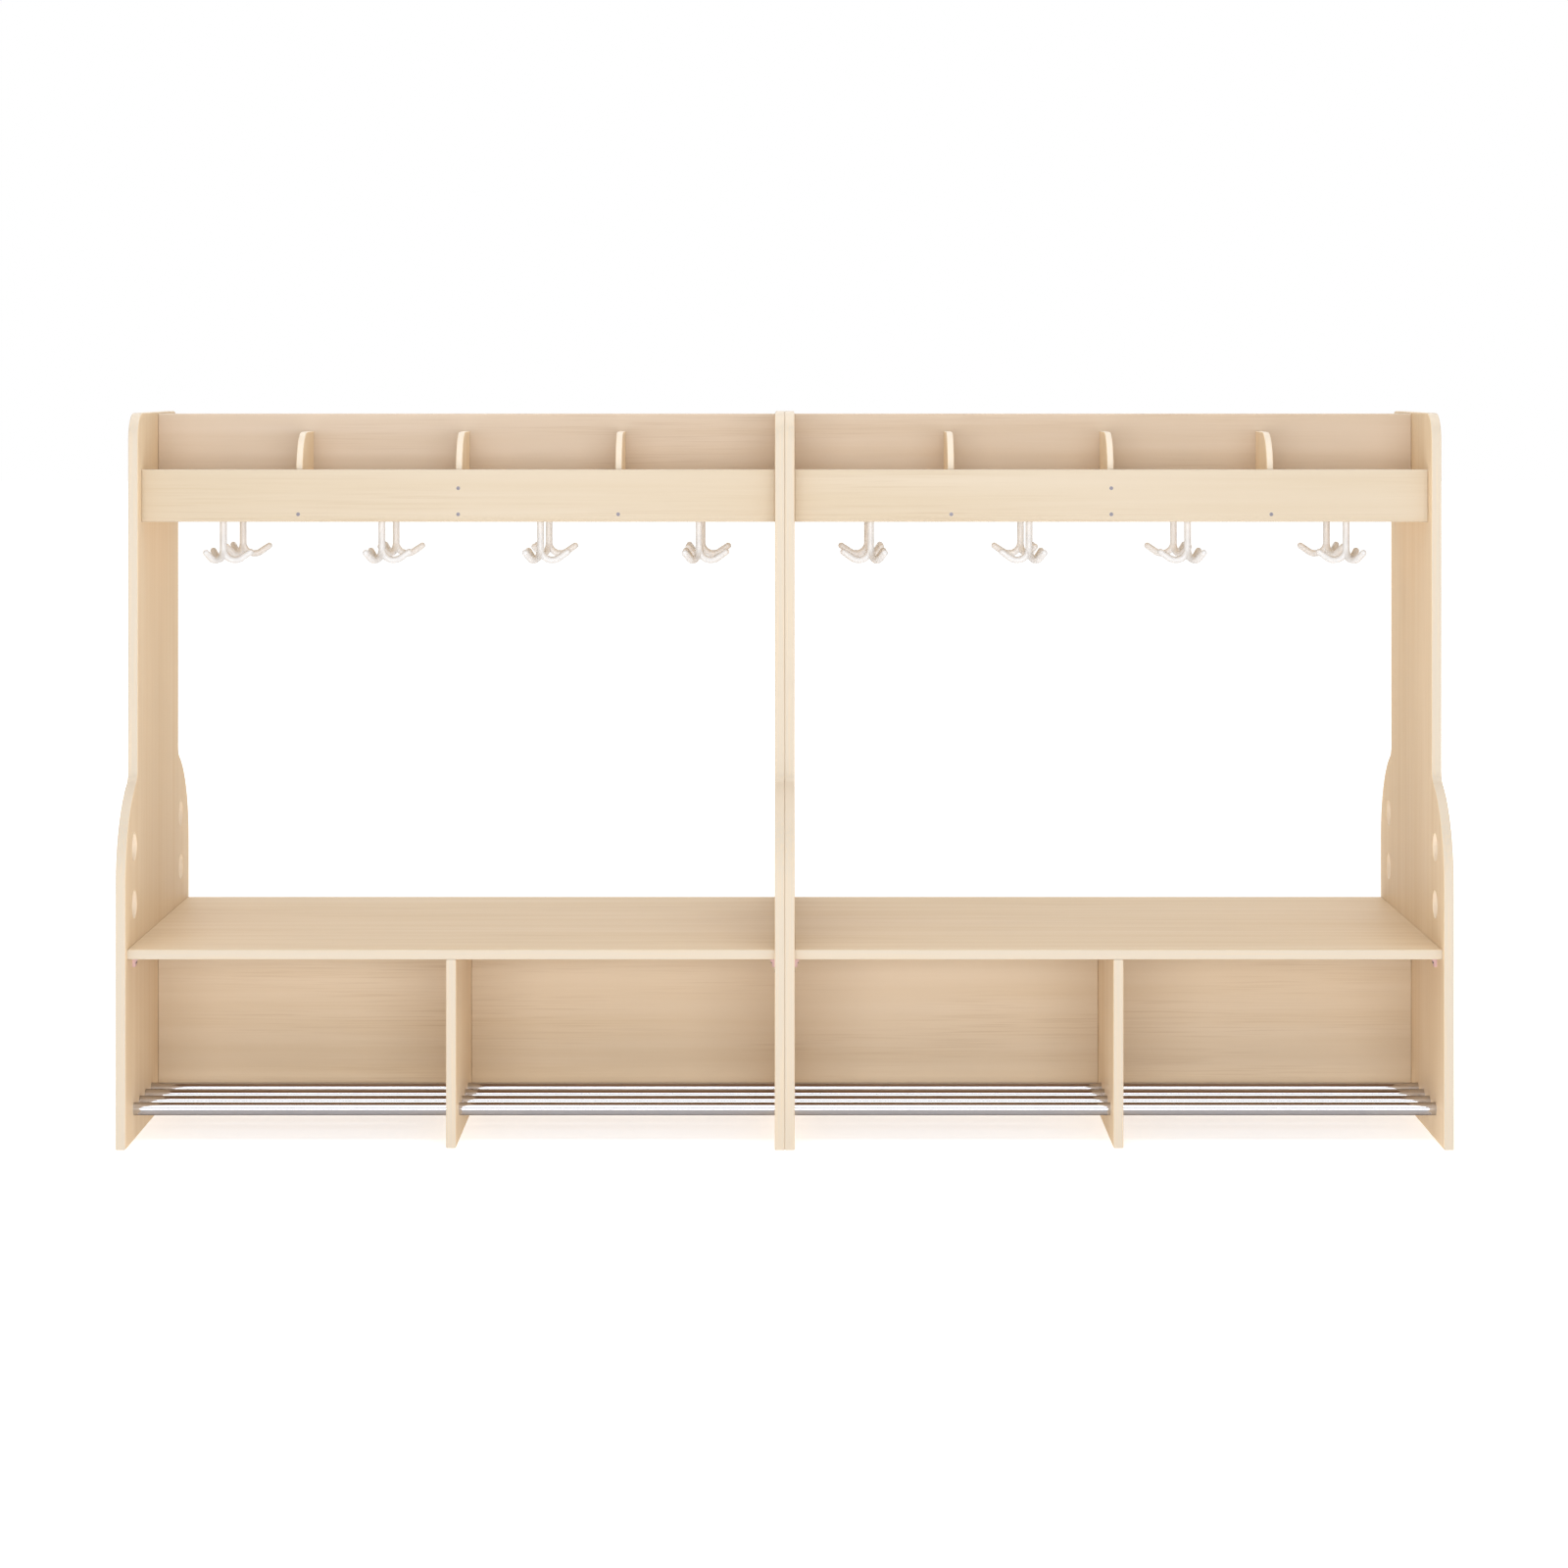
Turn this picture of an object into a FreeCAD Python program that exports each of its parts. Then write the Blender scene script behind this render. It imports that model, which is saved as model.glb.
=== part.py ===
import FreeCAD, Part
import Sketcher
import math
import os
import re

# Double cloakroom bench: two double-sided units joined at their middle panels.
# X runs along the bench, -Y is the front, Z is up.
# The origin is on the floor, in the middle of the bench.

sizes = {
    # Carcass boards
    "unit_length": 1200,
    "bench_depth": 700,
    "bench_height": 1320,
    "board": 18,
    "edge_round": 2,
    # Outline of the side panels
    "upright_inset": 126,
    "shoulder_start": 474,
    "shoulder_radius": 188,
    "neck_radius": 25,
    "crown_radius": 50,
    "port_diameter": 50,
    "port_inset": 93,
    "port_low": 428,
    "port_high": 532,
    # Seat and what is under it
    "seat_height": 357,
    "seat_inset": 17,
    "floor_gap": 40,
    "bar_diameter": 23,
    "bar_wall": 1.5,
    "bar_height": 57,
    "bar_inset": 87,
    "bar_back_gap": 68,
    "bar_embed": 10,
    "bar_clearance": 0.15,
    # Hat shelf and its trays
    "shelf_drop": 195,
    "fascia_height": 96,
    "fascia_drop": 5,
    "fascia_inset": 36,
    "centre_drop": 3,
    "tray_board": 12,
    "tray_height": 141,
    "tray_corner": 70,
    # Swivel hooks
    "hook_setback": 46,
    "stem_diameter": 13,
    "stem_length": 56,
    "stem_lap": 5,
    "prong_diameter": 12.8,
    "prong_tip": 11.8,
    "prong_bend": 22,
    "prong_reach": 19,
    "prong_sweep": 125,
    # Studs that the hooks turn on
    "stud_diameter": 6,
    "stud_reach": 34,
    "stud_collar": 8.6,
    "collar_length": 4,
    "stud_head": 15,
    "stud_head_rise": 2.5,
    "stud_clearance": 0.05,
    "turning_clearance": 0.06,
    "hook_gap": 0.3,
    "collar_play": 0.1,
    # Screws through the boards
    "screw_head": 7,
    "screw_head_length": 4,
    "screw_diameter": 4.4,
    "screw_length": 50,
    "screw_socket": 3.6,
    "socket_depth": 2.5,
    "screw_recess": 0.3,
    "screw_clearance": 0.05,
    "screw_tip_gap": 0.3,
    "fascia_screw_rise": 48,
    "shelf_screw_inset": 60,
    "lower_screw_inset": 59.5,
    # Wooden dowels
    "dowel_diameter": 6,
    "dowel_length": 24,
    "dowel_clearance": 0.05,
    "dowel_end_gap": 0.3,
    "divider_dowel_inset": 153,
    "panel_dowel_inset": 196.5,
    "centre_dowel_inset": 182,
    "tray_dowel_inset": 40.25,
    "tray_dowel_gap": 7.65,
    # Seat brackets and their screws
    "bracket_leg": 15,
    "bracket_drop": 22,
    "bracket_width": 15,
    "bracket_wall": 5,
    "bracket_cheek": 2,
    "bracket_inset": 71,
    "small_screw": 3,
    "small_screw_length": 12,
    "small_head": 6,
    "small_head_rise": 1.8,
    "small_clearance": 0.05,
    # Bolts that join the two units
    "bolt_diameter": 6,
    "bolt_length": 26,
    "sleeve_diameter": 9,
    "sleeve_length": 28,
    "cap_diameter": 16,
    "cap_rise": 1.5,
    "bolt_clearance": 0.1,
    "bolt_low_drop": 60,
    "bolt_low_offset": 50,
    "bolt_high_rise": 40,
    "bolt_high_inset": 50,
    # Length by which a cut runs past the face it starts from
    "overrun": 1,
}

bays = 4
bars_per_side = 4
prongs = 3
lefts = (("left", -1), ("right", 1))
fronts = (("front", -1), ("back", 1))

doc = FreeCAD.newDocument("CloakroomBench")
sheet = doc.addObject("Spreadsheet::Sheet", "Sizes")
for row, (alias, value) in enumerate(sizes.items(), start=1):
    sheet.set(f"A{row}", alias)
    sheet.set(f"B{row}", str(value))
    sheet.setAlias(f"B{row}", alias)
doc.recompute()

# Places that several pieces share, written in the named sizes
half_depth = "bench_depth / 2"
inner_length = "(unit_length - 2 * board)"
seat_under = "(seat_height - board)"
shelf_under = "(bench_height - shelf_drop)"
shelf_top = f"({shelf_under} + board)"
shelf_middle = f"({shelf_under} + board / 2)"
fascia_back = f"({half_depth} - upright_inset - fascia_inset - board)"
bay = f"(({inner_length} - {bays - 1} * tray_board) / {bays})"
bar_length = f"({inner_length} + 2 * bar_embed)"
bar_pitch = f"(({half_depth} - bar_inset - bar_back_gap - board / 2) / {bars_per_side - 1})"
half_panel = "((unit_length - 3 * board) / 2)"
screw_end = f"({fascia_back} + board - screw_recess - screw_length - screw_tip_gap)"

parts = []


# Size of each named cell, for outlines that start from numbers
size = {alias: float(sheet.get(alias)) for alias in sizes}


def named(text):
    def cell(word):
        return "Sizes." + word.group() if word.group() in sizes else word.group()
    return re.sub(r"[a-z]+(_[a-z]+)*", cell, text)


def bind(thing, **values):
    for name, text in values.items():
        thing.setExpression(name, named(text))


def place(thing, x, y, z, axis=(0, 0, 1), turn="0"):
    spin = FreeCAD.Rotation(FreeCAD.Vector(*axis), 1)
    thing.Placement = FreeCAD.Placement(FreeCAD.Vector(), spin)
    thing.setExpression("Placement.Rotation.Angle", named(turn))
    for name, text in zip("xyz", (x, y, z)):
        thing.setExpression("Placement.Base." + name, named(text))


def at(side, distance):
    return f"{side} * ({distance})"


def span(side, start, length):
    """Lower end of a stretch that starts this far from the middle, on one side of it."""
    return start if side > 0 else f"-({start}) - ({length})"


# Turns that point a piece's own Z axis into the board it is driven into
into = {
    ("x", 1): ((0, 1, 0), "90"),
    ("x", -1): ((0, 1, 0), "-90"),
    ("y", 1): ((1, 0, 0), "-90"),
    ("y", -1): ((1, 0, 0), "90"),
    ("z", 1): ((1, 0, 0), "0"),
    ("z", -1): ((1, 0, 0), "180"),
}


def rod(label, diameter, length, start="0"):
    piece = doc.addObject("Part::Cylinder", label)
    bind(piece, Radius=f"({diameter}) / 2", Height=length)
    place(piece, "0", "0", start)
    return piece


def joined(label, *pieces):
    whole = doc.addObject("Part::MultiFuse", label)
    whole.Shapes = list(pieces)
    whole.Refine = True
    return whole


def copy(label, master, x, y, z, axis=(0, 0, 1), turn="0"):
    piece = doc.addObject("Part::Compound", label)
    piece.Links = [master]
    place(piece, x, y, z, axis, turn)
    return piece


def group(label, pieces):
    whole = doc.addObject("Part::Compound", label)
    whole.Links = pieces
    return whole


def less(label, base, cutters):
    piece = doc.addObject("Part::Cut", label)
    piece.Base = base
    piece.Tool = cutters[0] if len(cutters) == 1 else group(label + "_bores", cutters)
    return piece


def keep(piece, label):
    piece.Label = label
    parts.append(piece)


def eased(body, feature, across):
    """Round the rims of a board's two broad faces; the board is thin along one axis."""
    rims = []
    for count, edge in enumerate(feature.Shape.Edges, start=1):
        run = edge.Vertexes[-1].Point - edge.Vertexes[0].Point
        along = abs(run[across]) > edge.Length * (1 - 1e-6)
        if not along:
            rims.append(f"Edge{count}")
    ease = body.newObject("PartDesign::Fillet", body.Name + "_rims")
    ease.Base = (feature, rims)
    bind(ease, Radius="edge_round")
    body.Tip = ease


def plank(label, corner, extent, across):
    """A straight board: lower corner, extent along X, Y and Z, and the axis it is thin along."""
    body = doc.addObject("PartDesign::Body", label + "_blank")
    blank = body.newObject("PartDesign::AdditiveBox", label + "_block")
    bind(blank, Length=extent[0], Width=extent[1], Height=extent[2])
    place(body, *corner)
    doc.recompute()
    eased(body, blank, across)
    return body


def profile(body, label):
    """A sketch on the body's own YZ plane: its X is the bench's Y, its Y is the bench's Z."""
    sketch = body.newObject("Sketcher::SketchObject", label + "_outline")
    plane = [item for item in body.Origin.OriginFeatures if item.Role == "YZ_Plane"][0]
    sketch.AttachmentSupport = [(plane, "")]
    sketch.MapMode = "FlatFace"
    return sketch


def line(sketch, y0, z0, y1, z1):
    ends = FreeCAD.Vector(y0, z0, 0), FreeCAD.Vector(y1, z1, 0)
    return sketch.addGeometry(Part.LineSegment(*ends), False)


def arc(sketch, y, z, radius, start, end):
    circle = Part.Circle(FreeCAD.Vector(y, z, 0), FreeCAD.Vector(0, 0, 1), radius)
    return sketch.addGeometry(Part.ArcOfCircle(circle, math.radians(start), math.radians(end)), False)


def rule(sketch, *terms):
    return sketch.addConstraint(Sketcher.Constraint(*terms))


def driven(sketch, name, text, *terms):
    index = rule(sketch, *terms)
    sketch.renameConstraint(index, name)
    sketch.setExpression("Constraints." + name, named(text))


def padded(body, sketch, label, thickness):
    pad = body.newObject("PartDesign::Pad", label + "_pad")
    pad.Profile = sketch
    bind(pad, Length=thickness)
    doc.recompute()
    eased(body, pad, 0)


def side_panel(label, x):
    """Upright board: wide below, a round shoulder, a neck and a narrow upright with round corners."""
    body = doc.addObject("PartDesign::Body", label + "_blank")
    sketch = profile(body, label)
    edge = size["bench_depth"] / 2
    post = edge - size["upright_inset"]
    top = size["bench_height"]
    low, bulge = size["shoulder_start"], size["shoulder_radius"]
    neck, crown = size["neck_radius"], size["crown_radius"]
    # The neck touches the upright and the shoulder from outside.
    aside = (post + neck) - (edge - bulge)
    lift = math.sqrt((bulge + neck) ** 2 - aside ** 2)
    lean = math.degrees(math.atan2(lift, aside))
    waist = low + lift
    line(sketch, -edge, 0, edge, 0)
    line(sketch, edge, 0, edge, low)
    arc(sketch, edge - bulge, low, bulge, 0, lean)
    arc(sketch, post + neck, waist, neck, 180, 180 + lean)
    line(sketch, post, waist, post, top - crown)
    arc(sketch, post - crown, top - crown, crown, 0, 90)
    line(sketch, post - crown, top, crown - post, top)
    arc(sketch, crown - post, top - crown, crown, 90, 180)
    line(sketch, -post, top - crown, -post, waist)
    arc(sketch, -post - neck, waist, neck, -lean, 0)
    arc(sketch, bulge - edge, low, bulge, 180 - lean, 180)
    line(sketch, -edge, low, -edge, 0)
    rule(sketch, "Coincident", 0, 2, 1, 1)
    rule(sketch, "Coincident", 11, 2, 0, 1)
    smooth = ((1, 2, 2, 1), (2, 2, 3, 2), (3, 1, 4, 1), (4, 2, 5, 1), (5, 2, 6, 1),
              (6, 2, 7, 1), (7, 2, 8, 1), (8, 2, 9, 2), (9, 1, 10, 1), (10, 2, 11, 1))
    for pair in smooth:
        rule(sketch, "Tangent", *pair)
    rule(sketch, "Horizontal", 6)
    for upright in (1, 4, 8, 11):
        rule(sketch, "Vertical", upright)
    rule(sketch, "Symmetric", 0, 1, 0, 2, -2)
    rule(sketch, "PointOnObject", 0, 1, -1)
    for pair in ((2, 10), (3, 9), (5, 7), (1, 11)):
        rule(sketch, "Equal", *pair)
    driven(sketch, "depth", "bench_depth", "DistanceX", 0, 1, 0, 2, 2 * edge)
    driven(sketch, "shoulder", "shoulder_start", "DistanceY", 1, 1, 1, 2, low)
    driven(sketch, "inset_back", "upright_inset", "DistanceX", 4, 1, 1, 1, edge - post)
    driven(sketch, "inset_front", "upright_inset", "DistanceX", 11, 2, 8, 2, edge - post)
    driven(sketch, "height", "bench_height", "DistanceY", 0, 1, 6, 2, top)
    driven(sketch, "bulge", "shoulder_radius", "Radius", 2, bulge)
    driven(sketch, "neck", "neck_radius", "Radius", 3, neck)
    driven(sketch, "crown", "crown_radius", "Radius", 5, crown)
    for front, facing in fronts:
        for rank in ("low", "high"):
            height = size["port_" + rank]
            spot = FreeCAD.Vector(facing * (edge - size["port_inset"]), height, 0)
            ring = Part.Circle(spot, FreeCAD.Vector(0, 0, 1), size["port_diameter"] / 2)
            port = sketch.addGeometry(ring, False)
            tag = front + "_" + rank
            ends = (port, 3, 0, 2) if facing > 0 else (0, 1, port, 3)
            driven(sketch, "inset_" + tag, "port_inset", "DistanceX", *ends, size["port_inset"])
            driven(sketch, "rise_" + tag, "port_" + rank, "DistanceY", 0, 1, port, 3, height)
            driven(sketch, "port_" + tag, "port_diameter", "Diameter", port, size["port_diameter"])
    padded(body, sketch, label, "board")
    place(body, x, "0", "0")
    return body


def tray_divider(label, x, facing):
    """Thin upright board behind a fascia, with a large round at its upper outer corner."""
    body = doc.addObject("PartDesign::Body", label + "_blank")
    sketch = profile(body, label)
    outer = size["bench_depth"] / 2 - size["upright_inset"] - size["fascia_inset"] - size["board"]
    reach = outer - size["board"] / 2
    rise, corner = size["tray_height"], size["tray_corner"]
    line(sketch, 0, 0, reach, 0)
    line(sketch, reach, 0, reach, rise - corner)
    arc(sketch, reach - corner, rise - corner, corner, 0, 90)
    line(sketch, reach - corner, rise, 0, rise)
    line(sketch, 0, rise, 0, 0)
    rule(sketch, "Coincident", 0, 2, 1, 1)
    rule(sketch, "Tangent", 1, 2, 2, 1)
    rule(sketch, "Tangent", 2, 2, 3, 1)
    rule(sketch, "Coincident", 3, 2, 4, 1)
    rule(sketch, "Coincident", 4, 2, 0, 1)
    rule(sketch, "Coincident", 0, 1, -1, 1)
    for level in (0, 3):
        rule(sketch, "Horizontal", level)
    for upright in (1, 4):
        rule(sketch, "Vertical", upright)
    driven(sketch, "reach", f"{fascia_back} - board / 2", "DistanceX", 0, 1, 0, 2, reach)
    driven(sketch, "rise", "tray_height", "DistanceY", 4, 2, 4, 1, rise)
    driven(sketch, "corner", "tray_corner", "Radius", 2, corner)
    padded(body, sketch, label, "tray_board")
    if facing > 0:
        place(body, x, "board / 2", shelf_top)
    else:
        place(body, f"{x} + tray_board", "-board / 2", shelf_top, turn="180")
    return body


# Boot bar and the bore it passes through, lying along X from the joint end outwards
bar = less("bar", rod("bar_tube", "bar_diameter", bar_length),
           [rod("bar_hollow", "bar_diameter - 2 * bar_wall", f"{bar_length} + 2 * overrun", "-overrun")])
bar_bore = rod("bar_bore", "bar_diameter + 2 * bar_clearance", f"{bar_length} + 4 * bar_clearance",
               "-2 * bar_clearance")

# Swivel hook, hung from the underside of the shelf at Z = 0, first prong along +X
stem = rod("hook_stem", "stem_diameter", "stem_length + stem_lap - hook_gap", "-stem_length - stem_lap")
bend = doc.addObject("Part::Torus", "prong_arc")
bind(bend, Radius1="prong_bend", Radius2="prong_diameter / 2", Angle3="prong_sweep")
place(bend, "prong_bend", "0", "-stem_length", (0, 1, -1), "180")
lean_x = "prong_bend * (1 - cos(prong_sweep))"
lean_z = "-stem_length - prong_bend * sin(prong_sweep)"
taper = doc.addObject("Part::Cone", "prong_taper")
bind(taper, Radius1="prong_diameter / 2", Radius2="prong_tip / 2", Height="prong_reach")
place(taper, lean_x, "0", lean_z, (0, 1, 0), "180 - prong_sweep")
ball = doc.addObject("Part::Sphere", "prong_ball")
bind(ball, Radius="prong_tip / 2", Angle1="0", Angle2="90")
place(ball, f"{lean_x} + prong_reach * sin(prong_sweep)", "0",
      f"{lean_z} - prong_reach * cos(prong_sweep)", (0, 1, 0), "180 - prong_sweep")
prong = joined("prong", bend, taper, ball)
arms = [copy(f"prong_{arm}", prong, "0", "0", "0", turn=f"{arm} * 360 / {prongs}")
        for arm in range(prongs)]
well = rod("hook_well", "stud_diameter + 2 * turning_clearance", "stud_reach + overrun", "-stud_reach")
chamber = rod("hook_chamber", "stud_collar + 2 * hook_gap", "collar_length + collar_play + hook_gap",
              "-stud_reach - hook_gap")
hook = less("hook", joined("hook_solid", stem, *arms), [well, chamber])

# Stud that a hook turns on: head on the tray floor, collar held inside the stem
stud = joined("stud",
              rod("stud_shank", "stud_diameter", "stud_reach + board", "-stud_reach"),
              rod("stud_collar_ring", "stud_collar", "collar_length", "-stud_reach"),
              rod("stud_cap", "stud_head", "stud_head_rise", "board"))
stud_bore = rod("stud_bore", "stud_diameter + 2 * stud_clearance", "board + 2 * overrun", "-overrun")

# Screw with a flush socket head, driven along +Z from the board's face at Z = 0
socket = doc.addObject("Part::Prism", "screw_socket_hex")
socket.Polygon = 6
bind(socket, Circumradius="screw_socket / 2", Height="socket_depth + overrun")
place(socket, "0", "0", "screw_recess - overrun")
screw = less("screw",
             joined("screw_solid",
                    rod("screw_top", "screw_head", "screw_head_length", "screw_recess"),
                    rod("screw_shank", "screw_diameter", "screw_length", "screw_recess")),
             [socket])
screw_bore = joined("screw_bore",
                    rod("screw_seat", "screw_head + 2 * screw_clearance",
                        "overrun + screw_recess + screw_head_length + screw_clearance", "-overrun"),
                    rod("screw_run", "screw_diameter + 2 * screw_clearance",
                        "overrun + screw_recess + screw_length + screw_tip_gap", "-overrun"))

# Dowel, half in each of two boards that meet at Z = 0
dowel = rod("dowel", "dowel_diameter", "dowel_length", "-dowel_length / 2")
dowel_bore = rod("dowel_bore", "dowel_diameter + 2 * dowel_clearance", "dowel_length + 2 * dowel_end_gap",
                 "-dowel_length / 2 - dowel_end_gap")

# Seat bracket in the corner between a side panel (X = 0) and the seat's underside (Z = 0)
def slab(label, corner, extent):
    piece = doc.addObject("Part::Box", label)
    bind(piece, Length=extent[0], Width=extent[1], Height=extent[2])
    place(piece, *corner)
    return piece


leg = slab("bracket_post", ("0", "-bracket_width / 2", "-bracket_drop"),
           ("bracket_wall", "bracket_width", "bracket_drop"))
arm = slab("bracket_arm", ("0", "-bracket_width / 2", "-bracket_wall"),
           ("bracket_leg", "bracket_width", "bracket_wall"))
cheeks = []
for front, facing in fronts:
    cheek = doc.addObject("Part::Wedge", "bracket_cheek_" + front)
    bind(cheek, Xmin="0", Ymin="0", Zmin="0", X2min="0", Z2min="0", Xmax="bracket_leg",
         Ymax="bracket_drop", Zmax="bracket_cheek", X2max="0", Z2max="bracket_cheek")
    place(cheek, "0", span(facing, "bracket_width / 2 - bracket_cheek", "bracket_cheek"), "0",
          (1, 0, 0), "-90")
    cheeks.append(cheek)
seat_screw_place = "(bracket_leg + bracket_wall) / 2"
side_screw_place = "(bracket_drop + bracket_wall) / 2"
small_bore = rod("small_bore", "small_screw + 2 * small_clearance",
                 "small_screw_length + screw_tip_gap + overrun", "-overrun")
small_screw = joined("small_screw_solid",
                     rod("small_cap", "small_head", "small_head_rise", "-small_head_rise"),
                     rod("small_shank", "small_screw", "small_screw_length"))
bracket = less("bracket", joined("bracket_solid", leg, arm, *cheeks),
               [copy("bracket_hole_side", small_bore, "bracket_wall", "0", f"-{side_screw_place}",
                     *into["x", -1]),
                copy("bracket_hole_seat", small_bore, seat_screw_place, "0", "-bracket_wall",
                     *into["z", 1])])

# Bolt and sleeve nut that draw the two middle panels together
bolt = joined("bolt",
              rod("bolt_cap", "cap_diameter", "cap_rise", "-cap_rise"),
              rod("bolt_shank", "bolt_diameter", "bolt_length"))
sleeve = less("sleeve",
              joined("sleeve_solid",
                     rod("sleeve_cap", "cap_diameter", "cap_rise", "-cap_rise"),
                     rod("sleeve_barrel", "sleeve_diameter", "sleeve_length")),
              [rod("sleeve_bore", "bolt_diameter + 2 * bolt_clearance", "sleeve_length + overrun")])
bolt_bore = rod("bolt_bore", "sleeve_diameter + 2 * bolt_clearance", "2 * board + 2 * overrun",
                "-board - overrun")

studs, screws, dowels, brackets, small_screws, bolts, sleeves = [], [], [], [], [], [], []

# The joint between the units
bolt_bores = []
bolt_places = {
    "low": ("board / 2 + bolt_low_offset", f"{seat_under} - bolt_low_drop"),
    "high": (f"{fascia_back} - bolt_high_inset", f"{shelf_top} + bolt_high_rise"),
}
for rank, (away, height) in bolt_places.items():
    for front, facing in fronts:
        spot = at(facing, away), height
        bolts.append(copy(f"bolt_{rank}_{front}", bolt, "-board", *spot, *into["x", 1]))
        sleeves.append(copy(f"sleeve_{rank}_{front}", sleeve, "board", *spot, *into["x", -1]))
        bolt_bores.append(copy(f"bolt_bore_{rank}_{front}", bolt_bore, "0", *spot, *into["x", 1]))

for name, side in lefts:
    # Boot bars: the first of each row lies nearest the open side.
    bar_bores = []
    for front, facing in fronts:
        row = []
        for count in range(bars_per_side):
            spot = (span(side, "board - bar_embed", bar_length),
                    at(facing, f"{half_depth} - bar_inset - {count} * {bar_pitch}"), "bar_height")
            tag = f"{name}_{front}_{count + 1}"
            row.append(copy("bar_" + tag, bar, *spot, *into["x", 1]))
            bar_bores.append(copy("bar_bore_" + tag, bar_bore, *spot, *into["x", 1]))
        keep(group(f"boot_bars_{name}_{front}_row", row), f"boot_bars_{name}_{front}")

    # Dowels: under the seat, and between the shelf and what stands on it
    seat_bores, divider_bores, centre_bores = [], [], []
    panel_bores = {"inner": [], "outer": []}

    def pin(tag, x, y, z, *boards):
        dowels.append(copy("dowel_" + tag, dowel, x, y, z))
        for bores in boards:
            bores.append(copy(f"dowel_bore_{tag}_{len(bores)}", dowel_bore, x, y, z))

    for front, facing in fronts:
        pin(f"divider_{name}_{front}", at(side, "unit_length / 2"),
            at(facing, f"{half_depth} - seat_inset - divider_dowel_inset"), seat_under,
            seat_bores, divider_bores)
    for place_name, shift in (("inner", -1), ("outer", 1)):
        middle = f"unit_length / 2 + {shift} * (board + {half_panel}) / 2"
        for front, facing in fronts:
            pin(f"panel_{name}_{place_name}_{front}",
                at(side, f"{middle} + {facing} * ({half_panel} / 2 - panel_dowel_inset)"), "0", seat_under,
                seat_bores, panel_bores[place_name])
    shelf_bores = []
    for count in (-1, 0, 1):
        along = f"unit_length / 2 + {count} * ({inner_length} / 2 - centre_dowel_inset)"
        pin(f"centre_{name}_{count + 1}", at(side, along), "0", shelf_top, shelf_bores, centre_bores)

    # Side panels, with what is let into them or driven through them
    for place_name, start, outward in (("inner", "0", -1), ("outer", "unit_length - board", 1)):
        face = "0" if place_name == "inner" else "unit_length"
        inside = "board" if place_name == "inner" else "unit_length - board"
        tag = f"{name}_{place_name}"
        drive = into["x", -side * outward]
        bores = list(bar_bores)
        if place_name == "inner":
            bores += bolt_bores
        holders = []
        for front, facing in fronts:
            spot = at(side, face), at(facing, f"{fascia_back} - shelf_screw_inset"), shelf_middle
            screws.append(copy(f"shelf_screw_{tag}_{front}", screw, *spot, *drive))
            holders.append((copy(f"shelf_screw_bore_{tag}_{front}", screw_bore, *spot, *drive),
                            shelf_bores))
        spot = at(side, face), "0", f"({shelf_top} + bench_height - centre_drop) / 2"
        screws.append(copy(f"centre_screw_{tag}", screw, *spot, *drive))
        holders.append((copy(f"centre_screw_bore_{tag}", screw_bore, *spot, *drive), centre_bores))
        for front, facing in fronts:
            from_middle = f"(({seat_under} - floor_gap) / 2 - lower_screw_inset)"
            spot = at(side, face), "0", f"(floor_gap + {seat_under}) / 2 + {facing} * {from_middle}"
            screws.append(copy(f"lower_screw_{tag}_{front}", screw, *spot, *drive))
            holders.append((copy(f"lower_screw_bore_{tag}_{front}", screw_bore, *spot, *drive),
                            panel_bores[place_name]))
        for cutter, board_bores in holders:
            bores.append(cutter)
            board_bores.append(cutter)
        for front, facing in fronts:
            reach = f"{half_depth} - bracket_inset - bracket_width / 2"
            turn = "0" if side * outward < 0 else "180"
            away = -side * outward
            brackets.append(copy(f"bracket_{tag}_{front}", bracket, at(side, inside),
                                 at(facing, reach), seat_under, turn=turn))
            low = (f"{at(side, inside)} + {away} * bracket_wall", at(facing, reach),
                   f"{seat_under} - {side_screw_place}")
            up = (f"{at(side, inside)} + {away} * {seat_screw_place}", at(facing, reach),
                  f"{seat_under} - bracket_wall")
            small_screws.append(copy(f"side_screw_{tag}_{front}", small_screw, *low,
                                     *into["x", side * outward]))
            small_screws.append(copy(f"seat_screw_{tag}_{front}", small_screw, *up, *into["z", 1]))
            bores.append(copy(f"side_bore_{tag}_{front}", small_bore, *low, *into["x", side * outward]))
            seat_bores.append(copy(f"seat_bore_{tag}_{front}", small_bore, *up, *into["z", 1]))
        panel = side_panel(f"side_panel_{tag}", span(side, start, "board"))
        keep(less(f"side_panel_{tag}_drilled", panel, bores), f"side_panel_{tag}")

    # Seat and the boards that carry it
    wide = f"2 * ({half_depth} - seat_inset)"
    seat = plank(f"seat_{name}", (span(side, "board", inner_length), f"-({wide}) / 2", seat_under),
                 (inner_length, wide, "board"), 2)
    keep(less(f"seat_{name}_drilled", seat, seat_bores), f"seat_{name}")
    divider = plank(f"lower_divider_{name}",
                    (span(side, "(unit_length - board) / 2", "board"), f"-({wide}) / 2", "0"),
                    ("board", wide, seat_under), 0)
    keep(less(f"lower_divider_{name}_drilled", divider, bar_bores + divider_bores),
         f"lower_divider_{name}")
    for place_name, start in (("inner", "board"), ("outer", "(unit_length + board) / 2")):
        tag = f"lower_panel_{name}_{place_name}"
        panel = plank(tag, (span(side, start, half_panel), "-board / 2", "floor_gap"),
                      (half_panel, "board", f"{seat_under} - floor_gap"), 1)
        keep(less(tag + "_drilled", panel, panel_bores[place_name]), tag)

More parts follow.
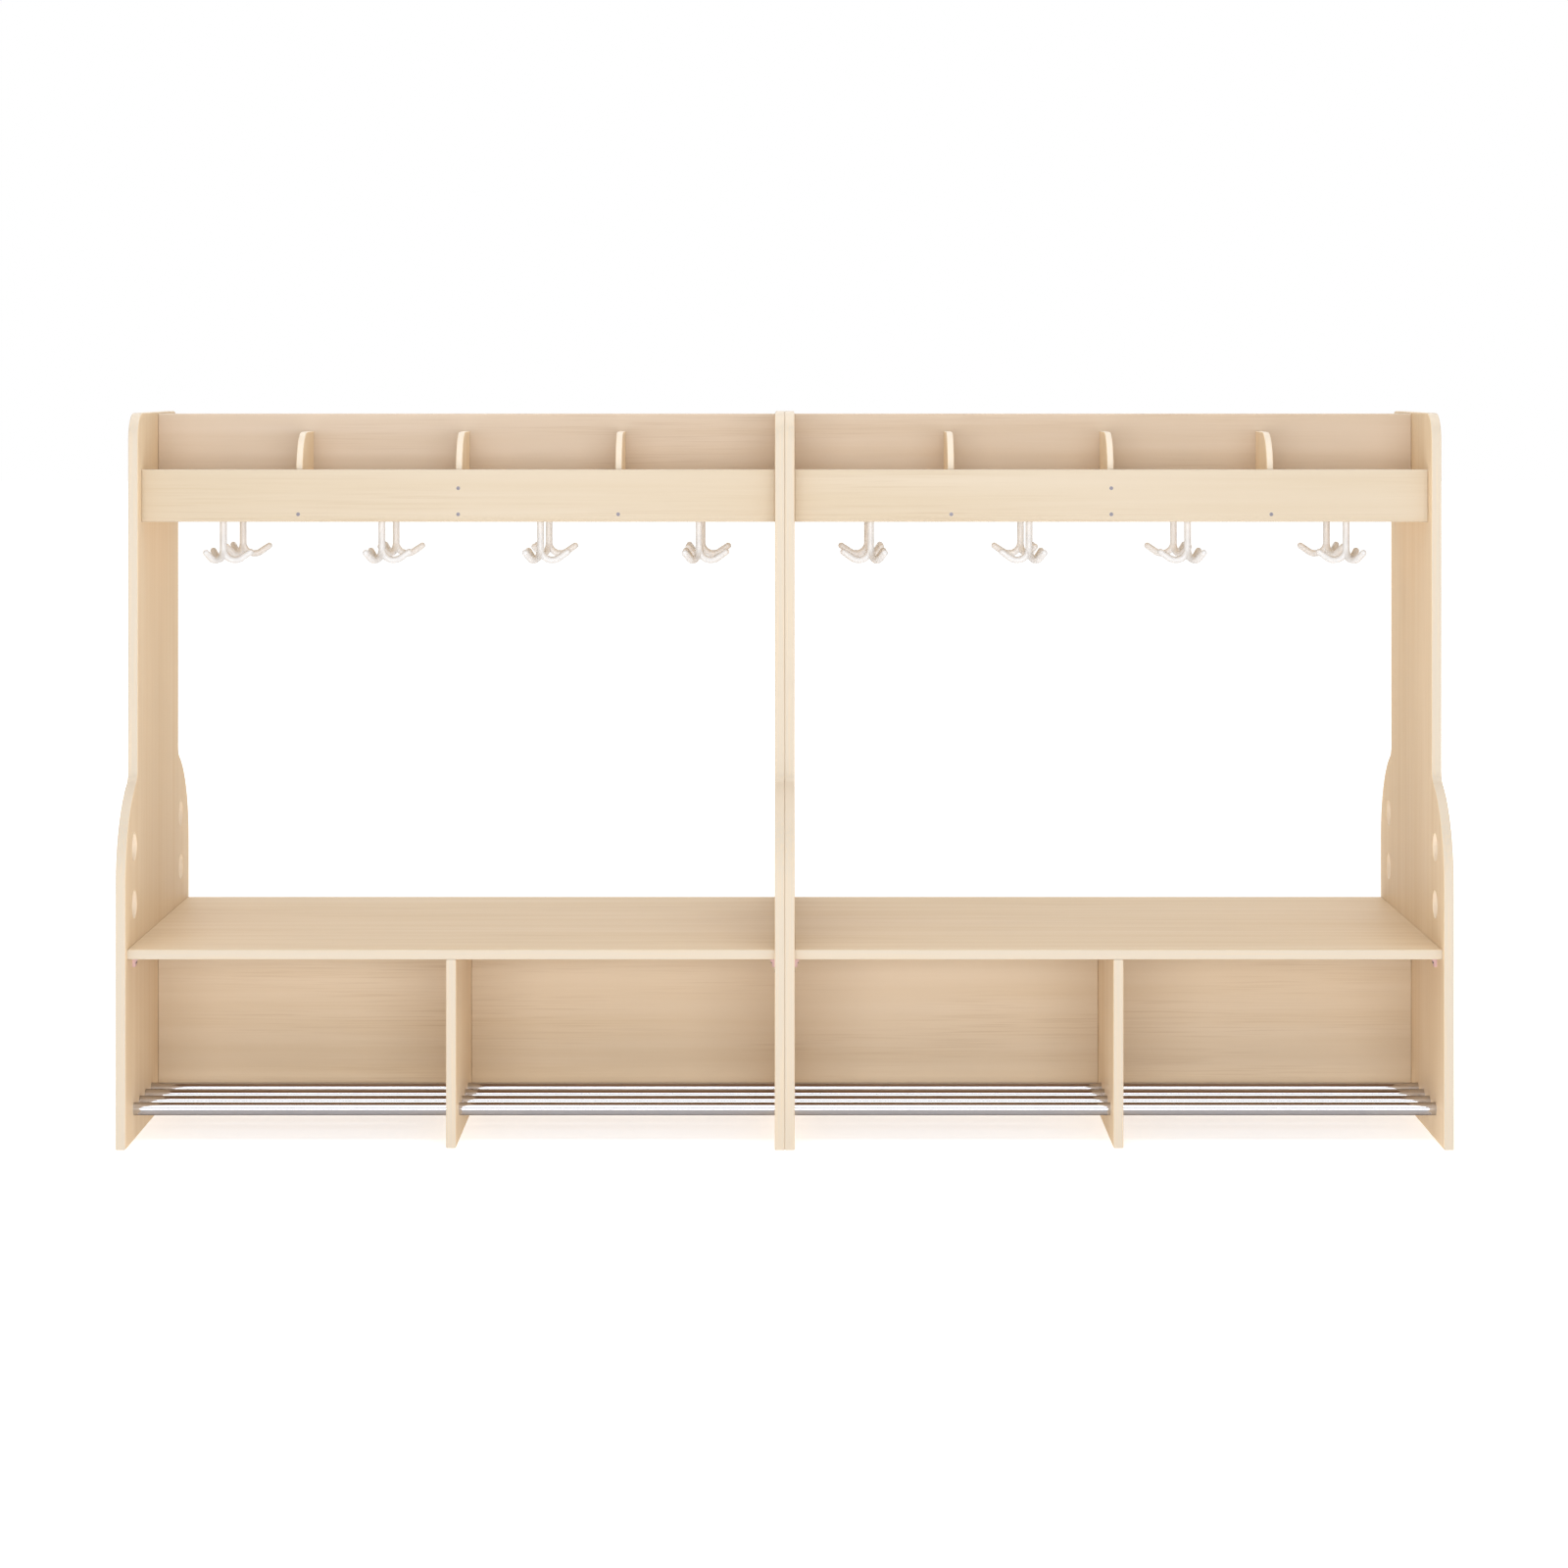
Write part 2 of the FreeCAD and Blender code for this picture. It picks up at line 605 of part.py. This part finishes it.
    # Fascias, tray dividers and hooks on both sides of the hat shelf
    for front, facing in fronts:
        fascia_bores = []
        for count in range(1, bays):
            middle = f"board + {count} * {bay} + ({count} - 1 / 2) * tray_board"
            tag = f"{name}_{front}_{count}"
            tray_bores = []
            heights = [("low", shelf_middle, shelf_bores)]
            if 2 * count == bays:
                heights.append(("high", f"{shelf_middle} + fascia_screw_rise", tray_bores))
            for rank, height, board_bores in heights:
                spot = at(side, middle), at(facing, f"{fascia_back} + board"), height
                screws.append(copy(f"fascia_screw_{tag}_{rank}", screw, *spot, *into["y", -facing]))
                cutter = copy(f"fascia_bore_{tag}_{rank}", screw_bore, *spot, *into["y", -facing])
                fascia_bores.append(cutter)
                board_bores.append(cutter)
            # The outer dowel stays clear of the screw's end.
            reaches = ("near", "board / 2 + tray_dowel_inset"), ("far", f"{screw_end} - tray_dowel_gap")
            for rank, reach in reaches:
                pin(f"tray_{tag}_{rank}", at(side, middle), at(facing, reach), shelf_top,
                    shelf_bores, tray_bores)
            upright = tray_divider(f"tray_divider_{tag}",
                                   span(side, f"{middle} - tray_board / 2", "tray_board"), facing)
            keep(less(f"tray_divider_{tag}_drilled", upright, tray_bores), f"tray_divider_{tag}")
        fascia = plank(f"fascia_{name}_{front}",
                       (span(side, "board", inner_length), span(facing, fascia_back, "board"),
                        f"{shelf_under} - fascia_drop"),
                       (inner_length, "board", "fascia_height"), 1)
        keep(less(f"fascia_{name}_{front}_drilled", fascia, fascia_bores), f"fascia_{name}_{front}")
        for count in range(bays):
            tag = f"{name}_{front}_{count + 1}"
            spot = (at(side, f"board + {bay} / 2 + {count} * ({bay} + tray_board)"),
                    at(facing, f"{fascia_back} - hook_setback"), shelf_under)
            keep(copy("hook_placed_" + tag, hook, *spot, turn="0" if side < 0 else "180"), "hook_" + tag)
            studs.append(copy("stud_" + tag, stud, *spot))
            shelf_bores.append(copy("stud_bore_" + tag, stud_bore, *spot))

    shelf = plank(f"hat_shelf_{name}",
                  (span(side, "board", inner_length), f"-{fascia_back}", shelf_under),
                  (inner_length, f"2 * {fascia_back}", "board"), 2)
    keep(less(f"hat_shelf_{name}_drilled", shelf, shelf_bores), f"hat_shelf_{name}")
    centre = plank(f"upper_panel_{name}", (span(side, "board", inner_length), "-board / 2", shelf_top),
                   (inner_length, "board", f"bench_height - centre_drop - {shelf_top}"), 1)
    keep(less(f"upper_panel_{name}_drilled", centre, centre_bores), f"upper_panel_{name}")

keep(group("stud_set", studs), "hook_studs")
keep(group("screw_set", screws), "panel_screws")
keep(group("dowel_set", dowels), "wooden_dowels")
keep(group("bracket_set", brackets), "seat_brackets")
keep(group("small_screw_set", small_screws), "bracket_screws")
keep(group("bolt_set", bolts), "connector_bolts")
keep(group("sleeve_set", sleeves), "connector_sleeves")

doc.recompute()
for thing in doc.Objects:
    if "Invalid" in thing.State or "Error" in thing.State:
        raise RuntimeError(f"{thing.Label} did not build: {thing.State}")
for piece in parts:
    if piece.Shape.isNull() or not piece.Shape.isValid():
        raise RuntimeError(f"{piece.Label} has no sound shape")

os.makedirs("parts", exist_ok=True)
for piece in parts:
    piece.Shape.exportStep(f"parts/{piece.Label}.step")
    print(piece.Label, len(piece.Shape.Solids), round(piece.Shape.Volume))
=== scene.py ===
import math
import bpy
import numpy as np
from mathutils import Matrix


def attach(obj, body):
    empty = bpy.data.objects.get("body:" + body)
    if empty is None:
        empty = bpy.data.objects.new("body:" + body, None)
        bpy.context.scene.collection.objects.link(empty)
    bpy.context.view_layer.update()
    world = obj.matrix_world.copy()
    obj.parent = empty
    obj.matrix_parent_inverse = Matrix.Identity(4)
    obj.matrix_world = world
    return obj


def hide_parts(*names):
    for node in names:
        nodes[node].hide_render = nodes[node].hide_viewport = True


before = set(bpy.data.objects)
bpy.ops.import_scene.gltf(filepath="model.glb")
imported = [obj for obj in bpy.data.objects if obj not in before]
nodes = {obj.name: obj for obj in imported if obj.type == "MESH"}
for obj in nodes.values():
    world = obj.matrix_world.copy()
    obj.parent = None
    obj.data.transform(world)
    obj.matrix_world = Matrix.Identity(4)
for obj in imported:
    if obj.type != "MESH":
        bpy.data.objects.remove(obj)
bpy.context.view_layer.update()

units = (("left", -1), ("right", 1))
sides = (("front", -1), ("back", 1))
perMetre = 1000  # sizes in the dictionaries are in mm, and the frame is in metres
print("frame loaded:", len(nodes), "nodes")


def linear(code):
    # sRGB hex to the linear colour that the shaders work in
    values = [int(code[i:i + 2], 16) / 255 for i in (1, 3, 5)]
    return [v / 12.92 if v <= 0.04045 else ((v + 0.055) / 1.055) ** 2.4 for v in values] + [1.0]


def addNode(tree, kind, inputs=None, **settings):
    # one node with its settings; an input is a value or the socket it is linked from
    node = tree.nodes.new(kind)
    for name, value in settings.items():
        setattr(node, name, value)
    for name, value in (inputs or {}).items():
        if isinstance(value, bpy.types.NodeSocket):
            tree.links.new(value, node.inputs[name])
        else:
            node.inputs[name].default_value = value
    return node


def gridFaces(rows, columns, closeRows, closeColumns):
    # quads of a grid of points, wrapped round in either direction where it closes
    r = np.arange(rows if closeRows else rows - 1)
    c = np.arange(columns if closeColumns else columns - 1)
    r, c = np.meshgrid(r, c, indexing="ij")
    nextR, nextC = (r + 1) % rows, (c + 1) % columns
    quads = [r * columns + c, nextR * columns + c, nextR * columns + nextC, r * columns + nextC]
    return np.stack(quads, axis=-1).reshape(-1, 4)


def meshPiece(name, points, quads, sharpDegrees=40):
    # a smooth-shaded object at the origin, with its place in its mesh
    mesh = bpy.data.meshes.new(name)
    mesh.from_pydata(points.tolist(), [], quads.tolist())
    mesh.polygons.foreach_set("use_smooth", np.ones(len(mesh.polygons), dtype=bool))
    mesh.update()
    mesh.set_sharp_from_angle(angle=math.radians(sharpDegrees))
    piece = bpy.data.objects.new(name, mesh)
    bpy.context.scene.collection.objects.link(piece)
    return piece


def newMaterial(name, **sockets):
    # a material of one principled shader, with the sockets that are the same all over
    material = bpy.data.materials.new(name)
    material.use_nodes = True
    tree = material.node_tree
    tree.nodes.clear()
    shader = addNode(tree, "ShaderNodeBsdfPrincipled")
    for socket, value in sockets.items():
        shader.inputs[socket.replace("_", " ")].default_value = value
    addNode(tree, "ShaderNodeOutputMaterial", {"Surface": shader.outputs[0]})
    return material, tree, shader


def addRoughness(tree, shader, pattern, roughness):
    # roughness that drifts between two values with a pattern
    node = addNode(tree, "ShaderNodeMapRange", {"Value": pattern, "To Min": roughness[0],
                                                "To Max": roughness[1]})
    tree.links.new(node.outputs[0], shader.inputs["Roughness"])


bumpDepth = 0.2  # mm


def addBump(tree, shader, pattern, strength):
    # a shallow relief that follows a pattern
    node = addNode(tree, "ShaderNodeBump", {"Height": pattern, "Strength": strength,
                                            "Distance": bumpDepth / perMetre})
    tree.links.new(node.outputs[0], shader.inputs["Normal"])


def wear(piece, material):
    # the piece's only material
    piece.data.materials.clear()
    piece.data.materials.append(material)


# Maple-effect melamine on particle board: a printed straight grain under a satin film, drawn in
# loose groups of fine lines with plain wood between. The edge band is a strip of the same print.
maple = {
    # pale, deeper and line tones of the face, and the edge band; painted light and shade: one print in lit
    # and shaded copies, each group paler or darker by how much light reaches it
    "tones": {
        "rail": ("#cabca8", "#c1af94", "#aa8f6f", "#cabead"),       # fascias
        "tray": ("#d6c5b2", "#cbb69d", "#ac8e70", "#cabead"),       # boards behind the hats
        "boot": ("#ddcbb2", "#d1bb9c", "#b49571", "#cabead"),       # boards behind the boots
        "flat": ("#e0ccb0", "#d5be9c", "#b69670", "#cabead"),       # seats and shelves
        "upright": ("#eed7b7", "#e0c59f", "#c19d75", "#cabead"),    # side panels and lower dividers
        "partition": ("#f3dcbb", "#e6cba5", "#c6a27a", "#dbcebc"),  # tray dividers
    },
    # painted light on the port walls and the up-facing edges, painted shade under the seats and in the line
    # where the units meet
    "portLight": "#ead9c3", "undersideShade": "#9a7859", "upperEdgeLight": "#d5c7b4", "seam": "#cabca9",
    # patterns: size across and along the grain in mm, detail and shift of the noise
    "streak": {"across": 26, "along": 900, "detail": 3, "shift": 3.1},   # broad soft stripes
    "cloud": {"across": 260, "along": 1040, "detail": 1, "shift": 1.3},  # slow drift of tone over a board
    "group": {"across": 75, "along": 520, "detail": 1, "shift": 5.9},    # where fine lines gather
    "fine": {"across": 3.4, "along": 190, "detail": 2, "shift": 7.7},    # a little coarse, so that it shows
    "noiseRoughness": 0.55,
    # stretches of noise that are spread out from 0 to 1
    "toneRange": (0.3, 0.7), "groupRange": (0.42, 0.66), "lineRange": (0.5, 0.74),
    "fleckRange": (0.42, 0.26), "edgeRange": (0.45, 0.7),
    "toneShare": 0.4, "edgeFigure": 0.25,
    # how far a normal leans where the face, the painted shade underneath and the painted light on the upper
    # edges begin and end
    "faceRange": (0.55, 0.8), "undersideShadeRange": (-0.5, -0.8), "upperEdgeLightRange": (0.5, 0.8),
    "roughness": (0.45, 0.56), "sheen": 0.22, "index": 1.5, "bumpStrength": 0.08,
    # mm: the round ports from the middle and the floor, and half the line where the two units meet
    "ports": {"away": 257, "heights": (428, 532), "radius": 25.6}, "seamHalf": 0.6,
}
axes = {"x": 0, "y": 1, "z": 2}


def mapleBoard(name, grain, thin, tones, figure, ported=False, shadedUnderside=False):
    # Grain runs along one axis, and faces square to the thin axis carry it; the others are edge band.
    # The figure is how strongly the fine lines show. A board with a shaded underside has painted shade, a
    # plain brown, on its down-facing face.
    pale, deep, line, edge = maple["tones"][tones]
    material, tree, shader = newMaterial("maple melamine, " + name, IOR=maple["index"],
                                         Specular_IOR_Level=maple["sheen"])
    place = addNode(tree, "ShaderNodeTexCoord").outputs["Object"]

    def grainNoise(pattern):
        scale = [perMetre / pattern["across"]] * 3
        scale[axes[grain]] = perMetre / pattern["along"]
        spot = addNode(tree, "ShaderNodeMapping", {"Vector": place, "Scale": scale,
                                                   "Location": (pattern["shift"],) * 3})
        return addNode(tree, "ShaderNodeTexNoise", {"Vector": spot.outputs[0], "Scale": 1.0,
                                                    "Detail": pattern["detail"],
                                                    "Roughness": maple["noiseRoughness"]}).outputs[0]

    def spread(value, stretch):
        return addNode(tree, "ShaderNodeMapRange", {"Value": value, "From Min": stretch[0],
                                                    "From Max": stretch[1]}).outputs[0]

    def mix(amount, first, second):
        node = addNode(tree, "ShaderNodeMix", {"Factor": amount}, data_type="RGBA")
        for socket, colour in ((6, first), (7, second)):
            if isinstance(colour, str):
                node.inputs[socket].default_value = linear(colour)
            else:
                tree.links.new(colour, node.inputs[socket])
        return node.outputs[2]

    def combine(operation, first, second):
        return addNode(tree, "ShaderNodeMath", {0: first, 1: second}, operation=operation).outputs[0]

    streak = spread(grainNoise(maple["streak"]), maple["toneRange"])
    cloud = spread(grainNoise(maple["cloud"]), maple["toneRange"])
    groups = spread(grainNoise(maple["group"]), maple["groupRange"])
    fine = grainNoise(maple["fine"])
    lines = combine("MULTIPLY", spread(fine, maple["lineRange"]), groups)
    tone = combine("MULTIPLY", combine("ADD", streak, cloud), maple["toneShare"])
    face = mix(combine("MULTIPLY", lines, figure), mix(tone, pale, deep), line)
    # paler flecks where the fine noise dips
    face = mix(combine("MULTIPLY", spread(fine, maple["fleckRange"]), figure), face, pale)
    band = mix(combine("MULTIPLY", spread(fine, maple["edgeRange"]), maple["edgeFigure"]), edge, deep)
    normal = addNode(tree, "ShaderNodeNewGeometry").outputs["Normal"]
    lean = addNode(tree, "ShaderNodeSeparateXYZ", {0: normal}).outputs
    if ported:
        # painted light: the up-facing edges of the side panels are paler, as if lit from above
        band = mix(spread(lean[axes["z"]], maple["upperEdgeLightRange"]), band, maple["upperEdgeLight"])
        # painted light: the shaded wall of each round port is given a lighter tone: r = |(|y|, |z|) - port
        # centre|
        ports = maple["ports"]
        folded = addNode(tree, "ShaderNodeVectorMath", {0: place}, operation="ABSOLUTE").outputs[0]
        sidePlace = addNode(tree, "ShaderNodeVectorMath", {0: folded, 1: (0, 1, 1)}, operation="MULTIPLY")
        reach = [addNode(tree, "ShaderNodeVectorMath",
                         {0: sidePlace.outputs[0], 1: (0, ports["away"] / perMetre, height / perMetre)},
                         operation="DISTANCE").outputs["Value"] for height in ports["heights"]]
        inside = combine("LESS_THAN", combine("MINIMUM", *reach), ports["radius"] / perMetre)
        band = mix(inside, band, maple["portLight"])
    if shadedUnderside:
        # painted shade: faces turned down are a plain brown
        face = mix(spread(lean[axes[thin]], maple["undersideShadeRange"]), face, maple["undersideShade"])
    square = addNode(tree, "ShaderNodeMath", {0: lean[axes[thin]]}, operation="ABSOLUTE").outputs[0]
    colour = mix(spread(square, maple["faceRange"]), band, face)
    if ported:
        # the line where the two units meet lies in shade: |x| < half its width
        across = addNode(tree, "ShaderNodeSeparateXYZ", {0: folded}).outputs[axes["x"]]
        colour = mix(combine("LESS_THAN", across, maple["seamHalf"] / perMetre), colour, maple["seam"])
    tree.links.new(colour, shader.inputs["Base Color"])
    addRoughness(tree, shader, streak, maple["roughness"])
    addBump(tree, shader, lines, maple["bumpStrength"])
    return material


boards = (
    (("seat_left", "seat_right"), mapleBoard("seats", "x", "z", "flat", 0.36, shadedUnderside=True)),
    (("hat_shelf",), mapleBoard("shelves", "x", "z", "flat", 0.36)),
    (("fascia",), mapleBoard("fascias", "x", "y", "rail", 0.26)),
    (("upper_panel",), mapleBoard("tray backs", "x", "y", "tray", 0.34)),
    (("lower_panel",), mapleBoard("boot backs", "x", "y", "boot", 0.36)),
    (("side_panel",), mapleBoard("side panels", "z", "x", "upright", 0.2, ported=True)),
    (("lower_divider",), mapleBoard("lower dividers", "z", "x", "upright", 0.2)),
    (("tray_divider",), mapleBoard("tray dividers", "z", "x", "partition", 0.2)),
)
for starts, material in boards:
    for name, piece in nodes.items():
        if name.startswith(starts):
            wear(piece, material)
print("boards dressed")

speckDetail = 3.0


def speckled(name, tones, grain, roughness, bump=0.0, **sockets):
    # a material whose tone and roughness drift a little at one grain size, in mm
    material, tree, shader = newMaterial(name, **sockets)
    place = addNode(tree, "ShaderNodeTexCoord").outputs["Object"]
    noise = addNode(tree, "ShaderNodeTexNoise", {"Vector": place, "Scale": perMetre / grain,
                                                 "Detail": speckDetail}).outputs[0]
    colour = addNode(tree, "ShaderNodeMix", {"Factor": noise, 6: linear(tones[0]), 7: linear(tones[1])},
                     data_type="RGBA")
    tree.links.new(colour.outputs[2], shader.inputs["Base Color"])
    addRoughness(tree, shader, noise, roughness)
    if bump:
        addBump(tree, shader, noise, bump)
    return material


# Bright chromium plate on drawn steel tube: a mirror with faint polishing drift, darker at a glance.
chromeTube = speckled("chromed steel tube", ("#cdcdd2", "#c3c3c9"), grain=40, roughness=(0.05, 0.09),
                      Metallic=1.0, Specular_Tint=linear("#8f8680"))
# White ABS, moulded smooth, with a soft sheen.
whiteAbs = speckled("white moulded ABS", ("#d9d8d8", "#d2d1d1"), grain=12, roughness=(0.32, 0.38),
                    IOR=1.53)
# Rose polypropylene, moulded and slightly waxy.
rosePlastic = speckled("rose polypropylene", ("#e0bfc0", "#d6b2b4"), grain=2.0, roughness=(0.35, 0.48),
                       bump=0.05, IOR=1.49)
# Zinc-plated steel: dull grey with a mottled bloom.
zincSteel = speckled("zinc-plated steel", ("#7d7a80", "#68656b"), grain=1.5, roughness=(0.32, 0.5),
                     bump=0.05, Metallic=1.0)
# Nickel-plated steel: warmer and brighter than zinc.
nickelSteel = speckled("nickel-plated steel", ("#bdb7ad", "#aaa49a"), grain=3.0, roughness=(0.2, 0.3),
                       Metallic=1.0)
# Beech dowel rod: pale, with short fine flecks.
beechDowel = speckled("beech dowel", ("#d6b48a", "#c29c70"), grain=1.0, roughness=(0.6, 0.75),
                      bump=0.1, IOR=1.5)
for name, piece in nodes.items():
    if name.startswith("hook_") and name != "hook_studs":
        wear(piece, whiteAbs)
for names, material in ((("hook_studs", "panel_screws", "bracket_screws"), zincSteel),
                        (("connector_bolts", "connector_sleeves"), nickelSteel),
                        (("wooden_dowels",), beechDowel), (("seat_brackets",), rosePlastic)):
    for name in names:
        wear(nodes[name], material)
print("plastic and metal dressed")

# Boot bars: drawn tube let into the side panels, four to a row.
bars = {"diameter": 23, "wall": 1.5, "height": 57, "inset": 87, "pitch": 62, "count": 4,
        "embed": 10, "board": 18, "unit": 1200, "depth": 700, "around": 96}


def tubeRow(unitSign, sideSign):
    # each tube is a closed wall turned round its axis: outside out, rim, inside back, rim
    outer, inner = bars["diameter"] / 2, bars["diameter"] / 2 - bars["wall"]
    lip = bars["wall"] / 4
    start = bars["board"] - bars["embed"]
    end = bars["unit"] - start
    run = np.array([start + lip, end - lip, end, end, end - lip, start + lip, start, start])
    radius = np.array([outer, outer, outer - lip, inner + lip, inner, inner, inner + lip, outer - lip])
    turn = np.linspace(0, 2 * math.pi, bars["around"], endpoint=False)
    points, quads, offset = [], [], 0
    for count in range(bars["count"]):
        away = bars["depth"] / 2 - bars["inset"] - count * bars["pitch"]
        grid = np.empty((len(run), len(turn), 3))
        grid[..., 0] = (unitSign * run)[:, None]
        grid[..., 1] = sideSign * away + radius[:, None] * np.cos(turn)
        grid[..., 2] = bars["height"] + radius[:, None] * np.sin(turn)
        face = gridFaces(len(run), len(turn), True, True)
        points.append(grid.reshape(-1, 3) / perMetre)
        quads.append((face[:, ::-1] if unitSign > 0 else face) + offset)
        offset += len(points[-1])
    return np.concatenate(points), np.concatenate(quads)


for unit, unitSign in units:
    for side, sideSign in sides:
        name = f"boot_bars_{unit}_{side}"
        piece = meshPiece(f"bars_{unit}_{side}", *tubeRow(unitSign, sideSign))
        wear(piece, chromeTube)
        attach(piece, "carcass")
        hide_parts(name)
print("boot bars turned")

# Camera: level, with the lens shifted down as in an architectural photograph. The picture's size, focal
# length, horizon and middle are in pixels of the photograph; the place before the front edges is in mm.
view = {"focal": 3741, "image": 1600, "distance": 6573, "height": 1394.7, "horizon": 380, "centre": 800.75,
        "sensor": 36, "reach": 200}
camera = bpy.data.objects.new("photo camera", bpy.data.cameras.new("photo camera"))
bpy.context.scene.collection.objects.link(camera)
camera.data.sensor_width = view["sensor"]
camera.data.lens = view["sensor"] * view["focal"] / view["image"]
camera.data.shift_x = (view["image"] / 2 - view["centre"]) / view["image"]
camera.data.shift_y = (view["horizon"] - view["image"] / 2) / view["image"]
camera.data.clip_end = view["reach"]
camera.location = (0, -(bars["depth"] / 2 + view["distance"]) / perMetre, view["height"] / perMetre)
camera.rotation_euler = (math.pi / 2, 0, 0)
bpy.context.scene.camera = camera

# Studio: a lit white floor and surround, wide soft lights low in front, behind and above, and a strip for
# the tubes. Lengths are in metres and powers in watts.
studio = {"floor": "#f2f2f2", "floorGlow": 0.56, "floorMirror": 0.03, "floorFill": 0.78, "ambient": 0.215,
          "white": 1.0, "fade": (2.5, 7.0), "reach": 40}
lamps = {
    "front": {"at": (0, -7.5, 1.1), "aim": (0, 0, 0.7), "size": (7.0, 2.2), "power": 230},
    "back": {"at": (0, 6.0, 5.2), "aim": (0, 0, 0.6), "size": (7.0, 1.6), "power": 75},
    "strip": {"at": (0, -4.5, 4.4), "aim": (0, 0, 0.4), "size": (8.0, 0.5), "power": 56},
    "top": {"at": (0, -0.3, 5.5), "aim": (0, 0, 0.4), "size": (7.0, 6.0), "power": 250},
}


def shownLevel(tree, unseen, seen, mirrored):
    # how bright a surround is for the light it sheds, for the eye or a clear body, and for a mirror
    path = addNode(tree, "ShaderNodeLightPath").outputs
    clear = addNode(tree, "ShaderNodeMath", {0: path["Is Camera Ray"], 1: path["Is Transmission Ray"]},
                    operation="MAXIMUM").outputs[0]
    level = addNode(tree, "ShaderNodeMapRange", {"Value": clear, "To Min": unseen,
                                                 "To Max": seen}).outputs[0]
    return addNode(tree, "ShaderNodeMapRange", {"Value": path["Is Glossy Ray"], "To Min": level,
                                                "To Max": mirrored}).outputs[0]


corners = studio["reach"] * np.array([[-1.0, -1, 0], [1, -1, 0], [1, 1, 0], [-1, 1, 0]])
floor = meshPiece("studio_floor", corners, np.array([[0, 1, 2, 3]]))
floorPaint = bpy.data.materials.new("white studio floor")
floorPaint.use_nodes = True
tree = floorPaint.node_tree
tree.nodes.clear()
matt = addNode(tree, "ShaderNodeBsdfDiffuse", {"Color": linear(studio["floor"])})
# away from the bench, where the lamps fade, the floor is shown as white as the surround
away = addNode(tree, "ShaderNodeVectorMath", {0: addNode(tree, "ShaderNodeTexCoord").outputs["Object"]},
               operation="LENGTH").outputs["Value"]
seen = addNode(tree, "ShaderNodeMapRange", {"Value": away, "From Min": studio["fade"][0],
                                            "From Max": studio["fade"][1], "To Min": studio["floorGlow"],
                                            "To Max": studio["white"]}).outputs[0]
level = shownLevel(tree, studio["floorFill"], seen, studio["floorMirror"])
glow = addNode(tree, "ShaderNodeEmission", {"Strength": level})
both = addNode(tree, "ShaderNodeAddShader", {0: matt.outputs[0], 1: glow.outputs[0]})
addNode(tree, "ShaderNodeOutputMaterial", {"Surface": both.outputs[0]})
wear(floor, floorPaint)

world = bpy.data.worlds.new("studio surround")
world.use_nodes = True
tree = world.node_tree
tree.nodes.clear()
level = shownLevel(tree, studio["ambient"], studio["white"], studio["white"])
surround = addNode(tree, "ShaderNodeBackground", {"Color": linear("#ffffff"), "Strength": level})
addNode(tree, "ShaderNodeOutputWorld", {"Surface": surround.outputs[0]})
bpy.context.scene.world = world

for name, lamp in lamps.items():
    data = bpy.data.lights.new(name + " softbox", "AREA")
    data.shape = "RECTANGLE"
    data.size, data.size_y = lamp["size"]
    data.energy = lamp["power"]
    light = bpy.data.objects.new(name + " softbox", data)
    bpy.context.scene.collection.objects.link(light)
    way = np.array(lamp["aim"]) - np.array(lamp["at"])
    light.location = lamp["at"]
    tilt = math.acos(-way[2] / np.linalg.norm(way))
    light.rotation_euler = (tilt, 0, math.atan2(way[1], way[0]) - math.pi / 2)
print("studio set")

bpy.context.scene.view_settings.view_transform = "Standard"
